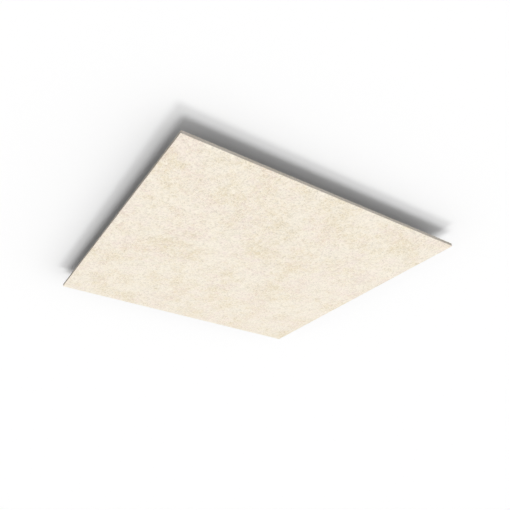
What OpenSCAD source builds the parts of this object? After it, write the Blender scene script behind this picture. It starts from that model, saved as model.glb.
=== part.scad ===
// Square ceiling tile cut from one pressed felt board, hung face down.
// The visible face lies in Z = 0 and looks down, and the back looks up at the ceiling.

/* [Board] */
// Length of the board along X, in millimetres
board_x = 1200; // [300:1:1220]
// Length of the board along Y, in millimetres
board_y = 1200; // [300:1:1220]
// Thickness of the felt
board_t = 12; // [6:0.5:25]

/* [Edges] */
// Radius of the upright corners, seen from below
corner_r = 2; // [1.5:0.1:20]
// Radius of the softened arris where a cut edge meets the face and the back
arris_r = 0.5; // [0.2:0.1:1.2]

/* [Hidden] */
felt_cream = [0.949, 0.910, 0.845];
// Stretches of edge that run straight between two corners
straight_x = board_x - 2 * corner_r;
straight_y = board_y - 2 * corner_r;
$fn = 48;

// Section through the board, standing on its face, with all four arrises softened
module board_section(width) {
    translate([-width / 2, arris_r])
        square([width, board_t - 2 * arris_r]);
    translate([-width / 2 + arris_r, 0])
        square([width - 2 * arris_r, board_t]);
    for (side = [-1, 1], height = [arris_r, board_t - arris_r])
        translate([side * (width / 2 - arris_r), height])
            circle(r = arris_r);
}

// The section drawn along Y, over the straight stretch of that edge
module straight_run(width, length) {
    rotate([90, 0, 0])
        linear_extrude(height = length, center = true)
            board_section(width);
}

// One corner: half of the section turned a quarter about the corner's own centre
module corner_post() {
    rotate_extrude(angle = 90)
        intersection() {
            board_section(2 * corner_r);
            square([corner_r, board_t]);
        }
}

module felt_board() {
    color(felt_cream)
        union() {
            straight_run(board_x, straight_y);
            rotate([0, 0, 90])
                straight_run(board_y, straight_x);
            for (turn = [0 : 90 : 270])
                translate([sign(cos(turn + 45)) * straight_x / 2, sign(sin(turn + 45)) * straight_y / 2, 0])
                    rotate([0, 0, turn])
                        corner_post();
        }
}

felt_board();
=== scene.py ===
from math import pi, radians

import bmesh
import bpy
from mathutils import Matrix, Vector


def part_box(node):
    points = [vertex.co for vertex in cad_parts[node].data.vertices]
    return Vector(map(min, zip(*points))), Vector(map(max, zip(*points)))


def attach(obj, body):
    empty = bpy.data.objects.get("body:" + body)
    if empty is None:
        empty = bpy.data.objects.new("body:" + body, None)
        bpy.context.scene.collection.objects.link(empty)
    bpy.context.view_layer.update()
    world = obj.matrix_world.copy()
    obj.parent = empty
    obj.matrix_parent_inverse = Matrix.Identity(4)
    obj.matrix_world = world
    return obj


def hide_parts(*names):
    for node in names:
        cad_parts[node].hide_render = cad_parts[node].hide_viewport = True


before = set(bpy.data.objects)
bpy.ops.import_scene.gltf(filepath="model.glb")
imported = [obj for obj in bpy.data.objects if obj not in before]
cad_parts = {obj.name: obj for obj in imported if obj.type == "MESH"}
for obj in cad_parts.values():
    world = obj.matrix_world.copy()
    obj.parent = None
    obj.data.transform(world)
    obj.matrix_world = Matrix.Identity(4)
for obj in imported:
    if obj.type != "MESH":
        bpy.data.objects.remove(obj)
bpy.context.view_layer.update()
boardLow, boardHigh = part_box("felt_board")
boardSize = boardHigh - boardLow
boardMiddle = (boardLow + boardHigh) / 2
plainWhite = (1, 1, 1, 1)
print("frame loaded, board", [round(side, 4) for side in boardSize])


def fromHex(code):
    # screen colour to the linear values that sockets take, good for all but near-black
    parts = [int(code[at:at + 2], 16) / 255 for at in (0, 2, 4)]
    return [((part + 0.055) / 1.055) ** 2.4 for part in parts] + [1]


def addNode(tree, kind, settings=None, **values):
    node = tree.nodes.new(kind)
    for name, value in (settings or {}).items():
        setattr(node, name, value)
    for name, value in values.items():
        node.inputs[name].default_value = value
    return node


def feed(tree, value, socket):
    # a number is set on the socket, and another node's output is linked to it
    if isinstance(value, (int, float)):
        socket.default_value = value
    else:
        tree.links.new(value, socket)


def addMath(tree, kind, first, second):
    node = addNode(tree, "ShaderNodeMath", {"operation": kind})
    feed(tree, first, node.inputs[0])
    feed(tree, second, node.inputs[1])
    return node.outputs[0]


# the felt tile
feltTile = {
    "cells": 150,            # cells along one side of a face
    "edgeRows": 8,           # rows of cells up the cut edge
    "cornerRadius": 0.002,
    "cornerSteps": 4,
    "arrisRadius": 0.0005,
    "arrisSteps": 3,
    "faceWave": 0.0006,      # height of the soft unevenness of the pressed face
    "faceWaveSize": 0.045,
    "faceWaveRest": 0.5,     # noise level that stays in place: the face rises and sinks
    "edgeFray": 0.0008,      # how far the cut fibres stand out
    "edgeFraySize": 0.009,
    "edgeFrayRest": 0,       # the fray only goes outwards
    "smoothAngle": 40,
    "flatWeight": 100,       # how far large faces outweigh small ones in the normals, 50 is even
}
samePlace = 1e-5             # distance that counts as none
flatNormal = 0.9             # a face is flat if its normal points up or down by more than this
cutNormal = 0.5              # and belongs to the cut edge if it does by less than this


def selectWhere(piece, kind, wanted):
    bpy.ops.mesh.select_all(action="DESELECT")
    bpy.ops.mesh.select_mode(type=kind)
    shape = bmesh.from_edit_mesh(piece.data)
    for part in (shape.edges if kind == "EDGE" else shape.faces):
        if wanted(part):
            part.select_set(True)
    bmesh.update_edit_mesh(piece.data)


def isUpright(edge):
    first, second = edge.verts
    return abs(first.co.x - second.co.x) + abs(first.co.y - second.co.y) < samePlace


def isCornerPost(edge):
    reach = edge.verts[0].co - boardMiddle
    atEndX = abs(reach.x) > boardSize.x / 2 - samePlace
    atEndY = abs(reach.y) > boardSize.y / 2 - samePlace
    return isUpright(edge) and atEndX and atEndY


def isRim(edge):
    flatFaces = [abs(face.normal.z) > flatNormal for face in edge.link_faces]
    return sorted(flatFaces) == [False, True]


def isCutEdge(face):
    return abs(face.normal.z) < cutNormal


def roughen(piece, name, size, height, restLevel, group=""):
    pattern = bpy.data.textures.new(name, "CLOUDS")
    pattern.noise_scale = size
    push = piece.modifiers.new(name, "DISPLACE")
    push.texture = pattern
    push.texture_coords = "LOCAL"
    push.strength = height
    push.mid_level = restLevel
    push.vertex_group = group
    bpy.ops.object.modifier_apply(modifier=name)


def modelTile():
    look = feltTile
    bpy.ops.object.select_all(action="DESELECT")
    bpy.ops.mesh.primitive_grid_add(
        x_subdivisions=look["cells"], y_subdivisions=look["cells"], size=1,
        location=(boardMiddle.x, boardMiddle.y, boardLow.z))
    tile = bpy.context.active_object
    tile.name = "felt_tile"
    tile.scale = (boardSize.x, boardSize.y, 1)
    bpy.ops.object.transform_apply(location=True, rotation=True, scale=True)

    bpy.ops.object.mode_set(mode="EDIT")
    bpy.ops.mesh.select_all(action="SELECT")
    bpy.ops.mesh.extrude_region_move(TRANSFORM_OT_translate={"value": (0, 0, boardSize.z)})
    bpy.ops.mesh.select_all(action="SELECT")
    bpy.ops.mesh.normals_make_consistent(inside=False)
    selectWhere(tile, "EDGE", isUpright)
    bpy.ops.mesh.subdivide(number_cuts=look["edgeRows"] - 1)
    selectWhere(tile, "EDGE", isCornerPost)
    bpy.ops.mesh.bevel(offset=look["cornerRadius"], segments=look["cornerSteps"], affect="EDGES")
    selectWhere(tile, "EDGE", isRim)
    bpy.ops.mesh.bevel(offset=look["arrisRadius"], segments=look["arrisSteps"], affect="EDGES")

    # the cut edge keeps a group of its own, so that only it frays
    selectWhere(tile, "FACE", isCutEdge)
    tile.vertex_groups.new(name="cutEdge")
    bpy.ops.object.vertex_group_assign()
    bpy.ops.object.mode_set(mode="OBJECT")
    roughen(tile, "faceWave", look["faceWaveSize"], look["faceWave"], look["faceWaveRest"])
    roughen(tile, "edgeFray", look["edgeFraySize"], look["edgeFray"], look["edgeFrayRest"], "cutEdge")
    bpy.ops.object.shade_smooth_by_angle(angle=radians(look["smoothAngle"]))
    # the flat faces keep their own normals, so that only the arris shades round
    flats = tile.modifiers.new("flatFaces", "WEIGHTED_NORMAL")
    flats.weight = look["flatWeight"]
    flats.keep_sharp = True
    bpy.ops.object.modifier_apply(modifier=flats.name)
    return tile


tile = modelTile()
print("tile modelled,", len(tile.data.polygons), "faces")


# felt: soft colour patches, clumps and fibres, one pattern for the two faces and the cut edge
feltLook = {
    # keeps the noise's own grid, which shows as creases, off the faces
    "patternShift": (0.37, 0.21, 0.13),
    "patchScale": 6.2,               # colour patches, per metre
    "patchDetail": 5.0,
    "patchRoughness": 0.9,
    "tanLevels": (0.40, 0.67),       # noise levels where a patch starts and is full
    "rosyLevels": (0.43, 0.68),
    "rosyDepth": 0.55,
    "dullLevels": (0.42, 0.70),
    "dullDepth": 0.15,
    "clumpScale": 110.0,             # clumps of fibre, per metre
    "clumpDetail": 2.0,
    "clumpRoughness": 0.9,
    "clumpLevels": (0.42, 0.66),
    "fibreLength": 0.024,
    "fibreWidth": 0.0012,
    "fibreDetail": 0.0,
    "fibreLevels": (0.615, 0.69),    # noise levels at a fibre's side and along its middle
    "fibreCurl": 0.04,               # how far a fibre is bent aside
    "curlScale": 25.0,
    "curlDetail": 1.0,
    # layers of fibres, each with its turn in degrees and its fineness
    "paleFibres": ((10, 1.0), (46, 1.3), (82, 0.9), (118, 1.2), (154, 1.1)),
    "darkFibres": ((28, 1.3), (64, 1.0), (100, 1.2), (136, 0.9), (172, 1.1)),
    "paleSeed": 1.37,
    "darkSeed": 2.71,
    "leastFibres": 0.5,              # share of dark fibres outside the clumps, and of pale ones in them
    "paleKnots": {"Scale": 80, "Size": 0.28, "Share": 0.6, "Seed": 0.7},
    "darkKnots": {"Scale": 75, "Size": 0.26, "Share": 0.5, "Seed": 1.9},
    "knotCore": 0.4,                 # share of a knot that is full
    "knotTangle": 0.05,              # how much thicker the fibres are there
    "roughness": (0.86, 1.0),        # between the clumps and in them
    "napStrength": 0.5,
    "gloss": 0.1,
    "sheen": 0.05,
    "sheenRoughness": 0.5,
}
feltFinish = {
    "feltFace": {
        "colours": {"Pale": "FEF6E6", "Tan": "EBDBB8", "Rosy": "FAE3E0",
                    "Pale Fibre": "FFF7E8", "Dark Fibre": "AFA797"},
        "strengths": {"Clumps": 0.18, "Pale Fibres": 1.0, "Dark Fibres": 0.40},
        "squeeze": (1, 1, 1),
        "napHeight": 0.0003,
    },
    "feltCutEdge": {
        "colours": {"Pale": "F7EFE4", "Tan": "EFE4D0", "Rosy": "F6EADE",
                    "Pale Fibre": "FDF8ED", "Dark Fibre": "C0B6A6"},
        "strengths": {"Clumps": 0.2, "Pale Fibres": 0.6, "Dark Fibres": 0.5},
        "squeeze": (1, 1, 3),        # the cut shows the board's layers
        "napHeight": 0.0005,
    },
}


def startGroup(name, takes, gives):
    tree = bpy.data.node_groups.new(name, "ShaderNodeTree")
    for socketName, kind in takes.items():
        tree.interface.new_socket(socketName, in_out="INPUT", socket_type="NodeSocket" + kind)
    for socketName, kind in gives.items():
        tree.interface.new_socket(socketName, in_out="OUTPUT", socket_type="NodeSocket" + kind)
    return tree, tree.nodes.new("NodeGroupInput"), tree.nodes.new("NodeGroupOutput")


def addRange(tree, value, low, high, toLow=0.0, toHigh=1.0):
    node = addNode(tree, "ShaderNodeMapRange", {"interpolation_type": "SMOOTHSTEP"})
    feed(tree, value, node.inputs["Value"])
    feed(tree, low, node.inputs["From Min"])
    feed(tree, high, node.inputs["From Max"])
    feed(tree, toLow, node.inputs["To Min"])
    feed(tree, toHigh, node.inputs["To Max"])
    return node.outputs["Result"]


def addMix(tree, first, second, share):
    node = addNode(tree, "ShaderNodeMix", {"data_type": "RGBA"})
    tree.links.new(first, node.inputs["A"])
    tree.links.new(second, node.inputs["B"])
    tree.links.new(share, node.inputs["Factor"])
    return node.outputs["Result"]


# fine fibres that all lie one way along the board: noise drawn out into long thin streaks
def makeFibreGroup():
    look = feltLook
    tree, taken, given = startGroup(
        "feltFibreLayer",
        {"Vector": "Vector", "Turn": "Float", "Fineness": "Float", "Seed": "Float", "Tangle": "Float"},
        {"Fibres": "Float"})
    acrossScale = 1 / look["fibreWidth"]
    turned = addNode(tree, "ShaderNodeVectorRotate", {"rotation_type": "Z_AXIS"})
    drawn = addNode(tree, "ShaderNodeMapping", Scale=(1 / look["fibreLength"], acrossScale, acrossScale))
    moved = addNode(tree, "ShaderNodeVectorMath", {"operation": "ADD"})
    streaks = addNode(tree, "ShaderNodeTexNoise", Detail=look["fibreDetail"])
    tree.links.new(taken.outputs["Vector"], turned.inputs["Vector"])
    tree.links.new(taken.outputs["Turn"], turned.inputs["Angle"])
    tree.links.new(turned.outputs["Vector"], drawn.inputs["Vector"])
    tree.links.new(drawn.outputs["Vector"], moved.inputs[0])
    tree.links.new(taken.outputs["Seed"], moved.inputs[1])
    tree.links.new(moved.outputs[0], streaks.inputs["Vector"])
    tree.links.new(taken.outputs["Fineness"], streaks.inputs["Scale"])
    thickened = addMath(tree, "ADD", streaks.outputs["Fac"], taken.outputs["Tangle"])
    tree.links.new(addRange(tree, thickened, *look["fibreLevels"]), given.inputs["Fibres"])
    return tree


def addFibres(tree, fibreGroup, place, layers, seed, knots):
    look = feltLook
    # one slow noise bends all the layers of a colour
    curl = addNode(tree, "ShaderNodeTexNoise", {"noise_dimensions": "4D"}, Scale=look["curlScale"],
                   Detail=look["curlDetail"], W=seed)
    bent = addNode(tree, "ShaderNodeVectorMath", {"operation": "MULTIPLY_ADD"})
    bent.inputs[1].default_value = (look["fibreCurl"], look["fibreCurl"], 0)
    tree.links.new(place, curl.inputs["Vector"])
    tree.links.new(curl.outputs["Color"], bent.inputs[0])
    tree.links.new(place, bent.inputs[2])
    tangle = addMath(tree, "MULTIPLY", knots, look["knotTangle"])
    fibres = 0.0
    for turn, fineness in layers:
        layer = addNode(tree, "ShaderNodeGroup", {"node_tree": fibreGroup}, Turn=radians(turn),
                        Fineness=fineness, Seed=turn * seed)
        tree.links.new(bent.outputs[0], layer.inputs["Vector"])
        tree.links.new(tangle, layer.inputs["Tangle"])
        fibres = addMath(tree, "MAXIMUM", fibres, layer.outputs["Fibres"])
    return fibres


# small knots where fibres tangle: spots in some of the cells of a scattered pattern
def makeKnotGroup():
    tree, taken, given = startGroup(
        "feltKnots",
        {"Vector": "Vector", "Scale": "Float", "Size": "Float", "Share": "Float", "Seed": "Float"},
        {"Knots": "Float"})
    moved = addNode(tree, "ShaderNodeVectorMath", {"operation": "ADD"})
    cells = addNode(tree, "ShaderNodeTexVoronoi")
    tree.links.new(taken.outputs["Vector"], moved.inputs[0])
    tree.links.new(taken.outputs["Seed"], moved.inputs[1])
    tree.links.new(moved.outputs[0], cells.inputs["Vector"])
    tree.links.new(taken.outputs["Scale"], cells.inputs["Scale"])
    chance = addNode(tree, "ShaderNodeSeparateColor")
    tree.links.new(cells.outputs["Color"], chance.inputs["Color"])
    kept = addMath(tree, "LESS_THAN", chance.outputs["Red"], taken.outputs["Share"])
    core = addMath(tree, "MULTIPLY", taken.outputs["Size"], feltLook["knotCore"])
    spot = addRange(tree, cells.outputs["Distance"], core, taken.outputs["Size"], 1.0, 0.0)
    tree.links.new(addMath(tree, "MULTIPLY", spot, kept), given.inputs["Knots"])
    return tree


def addKnots(tree, knotGroup, place, values):
    knots = addNode(tree, "ShaderNodeGroup", {"node_tree": knotGroup}, **values)
    tree.links.new(place, knots.inputs["Vector"])
    return knots.outputs["Knots"]


def makeFeltGroup():
    look = feltLook
    fibreGroup = makeFibreGroup()
    knotGroup = makeKnotGroup()
    colourNames = list(feltFinish["feltFace"]["colours"])
    strengthNames = list(feltFinish["feltFace"]["strengths"])
    takes = {"Vector": "Vector"}
    takes.update(dict.fromkeys(colourNames, "Color"))
    takes.update(dict.fromkeys(strengthNames, "Float"))
    tree, taken, given = startGroup(
        "felt", takes, {"Color": "Color", "Roughness": "Float", "Height": "Float"})
    place = taken.outputs["Vector"]
    pale, tan, rosy, paleFibre, darkFibre = [taken.outputs[name] for name in colourNames]
    clumpStrength, paleStrength, darkStrength = [taken.outputs[name] for name in strengthNames]

    patches = addNode(tree, "ShaderNodeTexNoise", Scale=look["patchScale"], Detail=look["patchDetail"],
                      Roughness=look["patchRoughness"])
    grain = addNode(tree, "ShaderNodeTexNoise", Scale=look["clumpScale"], Detail=look["clumpDetail"],
                    Roughness=look["clumpRoughness"])
    for noise in (patches, grain):
        tree.links.new(place, noise.inputs["Vector"])
    parts = addNode(tree, "ShaderNodeSeparateColor")
    tree.links.new(patches.outputs["Color"], parts.inputs["Color"])
    tanPatches = addRange(tree, parts.outputs["Red"], *look["tanLevels"])
    rosyPatches = addRange(tree, parts.outputs["Green"], *look["rosyLevels"], 0.0, look["rosyDepth"])
    dullPatches = addRange(tree, parts.outputs["Blue"], *look["dullLevels"], 0.0, look["dullDepth"])
    clumps = addRange(tree, grain.outputs["Fac"], *look["clumpLevels"])
    paleLines = addFibres(tree, fibreGroup, place, look["paleFibres"], look["paleSeed"],
                          addKnots(tree, knotGroup, place, look["paleKnots"]))
    darkLines = addFibres(tree, fibreGroup, place, look["darkFibres"], look["darkSeed"],
                          addKnots(tree, knotGroup, place, look["darkKnots"]))

    # dark fibres gather in the clumps, and pale ones between them
    darkShare = addRange(tree, clumps, 0.0, 1.0, look["leastFibres"], 1.0)
    darkShown = addMath(tree, "MULTIPLY", darkLines, darkShare)
    paleShare = addRange(tree, clumps, 0.0, 1.0, 1.0, look["leastFibres"])
    paleShown = addMath(tree, "MULTIPLY", paleLines, paleShare)
    colour = addMix(tree, pale, tan, tanPatches)
    colour = addMix(tree, colour, rosy, rosyPatches)
    colour = addMix(tree, colour, darkFibre, dullPatches)
    colour = addMix(tree, colour, darkFibre, addMath(tree, "MULTIPLY", clumps, clumpStrength))
    colour = addMix(tree, colour, darkFibre, addMath(tree, "MULTIPLY", darkShown, darkStrength))
    colour = addMix(tree, colour, paleFibre, addMath(tree, "MULTIPLY", paleShown, paleStrength))
    tree.links.new(colour, given.inputs["Color"])
    tree.links.new(addRange(tree, clumps, 0.0, 1.0, *look["roughness"]), given.inputs["Roughness"])
    # the pale fibres lie on top, and the clumps lie low
    tree.links.new(addMath(tree, "SUBTRACT", paleLines, clumps), given.inputs["Height"])
    return tree


def makeFelt(name, feltGroup):
    look = feltLook
    finish = feltFinish[name]
    material = bpy.data.materials.new(name)
    material.use_nodes = True
    tree = material.node_tree
    shader = tree.nodes["Principled BSDF"]
    shader.inputs["Specular IOR Level"].default_value = look["gloss"]
    shader.inputs["Sheen Weight"].default_value = look["sheen"]
    shader.inputs["Sheen Roughness"].default_value = look["sheenRoughness"]
    place = addNode(tree, "ShaderNodeTexCoord")
    moved = addNode(tree, "ShaderNodeMapping", Location=look["patternShift"], Scale=finish["squeeze"])
    felt = addNode(tree, "ShaderNodeGroup", {"node_tree": feltGroup})
    for socketName, code in finish["colours"].items():
        felt.inputs[socketName].default_value = fromHex(code)
    for socketName, strength in finish["strengths"].items():
        felt.inputs[socketName].default_value = strength
    nap = addNode(tree, "ShaderNodeBump", Strength=look["napStrength"], Distance=finish["napHeight"])
    tree.links.new(place.outputs["Object"], moved.inputs["Vector"])
    tree.links.new(moved.outputs["Vector"], felt.inputs["Vector"])
    tree.links.new(felt.outputs["Color"], shader.inputs["Base Color"])
    tree.links.new(felt.outputs["Roughness"], shader.inputs["Roughness"])
    tree.links.new(felt.outputs["Height"], nap.inputs["Height"])
    tree.links.new(nap.outputs["Normal"], shader.inputs["Normal"])
    return material


def finishTile(tile):
    feltGroup = makeFeltGroup()
    for name in feltFinish:
        tile.data.materials.append(makeFelt(name, feltGroup))
    bpy.ops.object.select_all(action="DESELECT")
    tile.select_set(True)
    bpy.context.view_layer.objects.active = tile
    bpy.ops.object.mode_set(mode="EDIT")
    selectWhere(tile, "FACE", isCutEdge)
    tile.active_material_index = list(feltFinish).index("feltCutEdge")
    bpy.ops.object.material_slot_assign()
    bpy.ops.object.mode_set(mode="OBJECT")


finishTile(tile)
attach(tile, "root")
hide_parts("felt_board")
print("felt finished")


# stage: the ceiling that the tile hangs under
stageLook = {
    "ceilingGap": 0.072,     # from the tile's face up to the ceiling
    "ceilingSpan": 80,
}


def makeCeiling():
    bpy.ops.object.select_all(action="DESELECT")
    height = boardLow.z + stageLook["ceilingGap"]
    # turned over, so that its front looks down
    bpy.ops.mesh.primitive_plane_add(size=stageLook["ceilingSpan"], location=(0, 0, height),
                                     rotation=(pi, 0, 0))
    ceiling = bpy.context.active_object
    ceiling.name = "ceiling"
    paint = bpy.data.materials.new("ceilingPaint")
    paint.use_nodes = True
    tree = paint.node_tree
    tree.nodes.remove(tree.nodes["Principled BSDF"])
    coat = addNode(tree, "ShaderNodeBsdfDiffuse", Color=plainWhite)
    clear = addNode(tree, "ShaderNodeBsdfTransparent")
    side = addNode(tree, "ShaderNodeNewGeometry")
    either = addNode(tree, "ShaderNodeMixShader")
    tree.links.new(side.outputs["Backfacing"], either.inputs[0])
    tree.links.new(coat.outputs[0], either.inputs[1])
    tree.links.new(clear.outputs[0], either.inputs[2])
    tree.links.new(either.outputs[0], tree.nodes["Material Output"].inputs["Surface"])
    ceiling.data.materials.append(paint)
    # it takes the tile's shadow, but neither lights nor shades the tile
    ceiling.visible_diffuse = False
    ceiling.visible_glossy = False
    ceiling.visible_transmission = False
    ceiling.visible_shadow = False


makeCeiling()
print("stage set")


# light: a soft glow from the room below, two soft lamps, and a lamp above for the tile's back
lightLook = {
    "glow": 0.183,           # straight below
    "glowAtHorizon": 0.975,
    "horizonPower": 2,       # how closely that part keeps to the horizon
    "glowAbove": 0.015,
    "glowTurn": (0.35, -0.17),   # brighter towards +X and -Y
    "lampDistance": 3,       # for the viewport, since a sun lights the same from anywhere
    "lamps": {               # way to the lamp, strength and width in degrees
        "lampBelow": ((0.01, 0.02, -1.0), 0.958, 32),
        "lampFarSide": ((0.53, 0.61, -1.0), 0.768, 18),
        "lampAbove": ((0.0, 0.0, 1.0), pi, 12),    # pi shows a colour as it is written
    },
}


def makeWorld():
    world = bpy.data.worlds.new("room")
    bpy.context.scene.world = world
    world.use_nodes = True
    tree = world.node_tree
    tree.nodes.clear()
    way = addNode(tree, "ShaderNodeTexCoord")
    split = addNode(tree, "ShaderNodeSeparateXYZ")
    tree.links.new(way.outputs["Generated"], split.inputs[0])
    alongX, alongY, alongZ = split.outputs
    turnX, turnY = lightLook["glowTurn"]
    turned = addMath(tree, "ADD", addMath(tree, "MULTIPLY", alongX, turnX),
                     addMath(tree, "MULTIPLY", alongY, turnY))
    level = addMath(tree, "SUBTRACT", 1, addMath(tree, "MULTIPLY", alongZ, alongZ))
    nearHorizon = addMath(tree, "POWER", level, lightLook["horizonPower"])
    horizon = addMath(tree, "MULTIPLY", nearHorizon, lightLook["glowAtHorizon"])
    glow = addMath(tree, "ADD", addMath(tree, "ADD", turned, horizon), lightLook["glow"])
    below = addMath(tree, "LESS_THAN", alongZ, 0)
    fromBelow = addMath(tree, "MULTIPLY", addMath(tree, "MAXIMUM", glow, 0), below)
    fromAbove = addMath(tree, "MULTIPLY", addMath(tree, "SUBTRACT", 1, below), lightLook["glowAbove"])
    room = addNode(tree, "ShaderNodeBackground", Color=plainWhite)
    tree.links.new(addMath(tree, "ADD", fromBelow, fromAbove), room.inputs["Strength"])

    # what the camera sees past the stage is plain white
    seen = addNode(tree, "ShaderNodeLightPath")
    plain = addNode(tree, "ShaderNodeBackground", Color=plainWhite, Strength=1)
    either = addNode(tree, "ShaderNodeMixShader")
    out = addNode(tree, "ShaderNodeOutputWorld")
    mirrored = addMath(tree, "MAXIMUM", seen.outputs["Is Glossy Ray"],
                       seen.outputs["Is Transmission Ray"])
    tree.links.new(addMath(tree, "MAXIMUM", seen.outputs["Is Camera Ray"], mirrored), either.inputs[0])
    tree.links.new(room.outputs[0], either.inputs[1])
    tree.links.new(plain.outputs[0], either.inputs[2])
    tree.links.new(either.outputs[0], out.inputs["Surface"])


def makeLamps():
    for name, (way, strength, width) in lightLook["lamps"].items():
        bpy.ops.object.select_all(action="DESELECT")
        bpy.ops.object.light_add(type="SUN", location=Vector(way) * lightLook["lampDistance"])
        lamp = bpy.context.active_object
        lamp.name = name
        lamp.rotation_euler = Vector(way).to_track_quat("Z", "Y").to_euler()
        lamp.data.energy = strength
        lamp.data.name = name
        lamp.data.angle = radians(width)
    # the lamp above only lights what is seen directly, so the shadow on the ceiling stays deep
    bpy.data.lights["lampAbove"].cycles.max_bounces = 0


makeWorld()
makeLamps()
bpy.context.scene.view_settings.view_transform = "Standard"
print("lights set")


# camera: standing eye height, looking up at the tile
cameraLook = {
    "place": (-1.088, -1.758, -1.132),
    "lookUp": 30.0,          # degrees above the level
    "turn": -32.95,          # degrees from +Y
    "lens": 38.97,
    "sensor": 36,
    "clipEnd": 200,          # past the ceiling's far corner
}


def makeCamera():
    bpy.ops.object.select_all(action="DESELECT")
    bpy.ops.object.camera_add(
        location=cameraLook["place"],
        rotation=(radians(90 + cameraLook["lookUp"]), 0, radians(cameraLook["turn"])))
    camera = bpy.context.active_object
    camera.data.sensor_width = cameraLook["sensor"]
    camera.data.lens = cameraLook["lens"]
    camera.data.clip_end = cameraLook["clipEnd"]
    bpy.context.scene.camera = camera


makeCamera()
print("camera set")
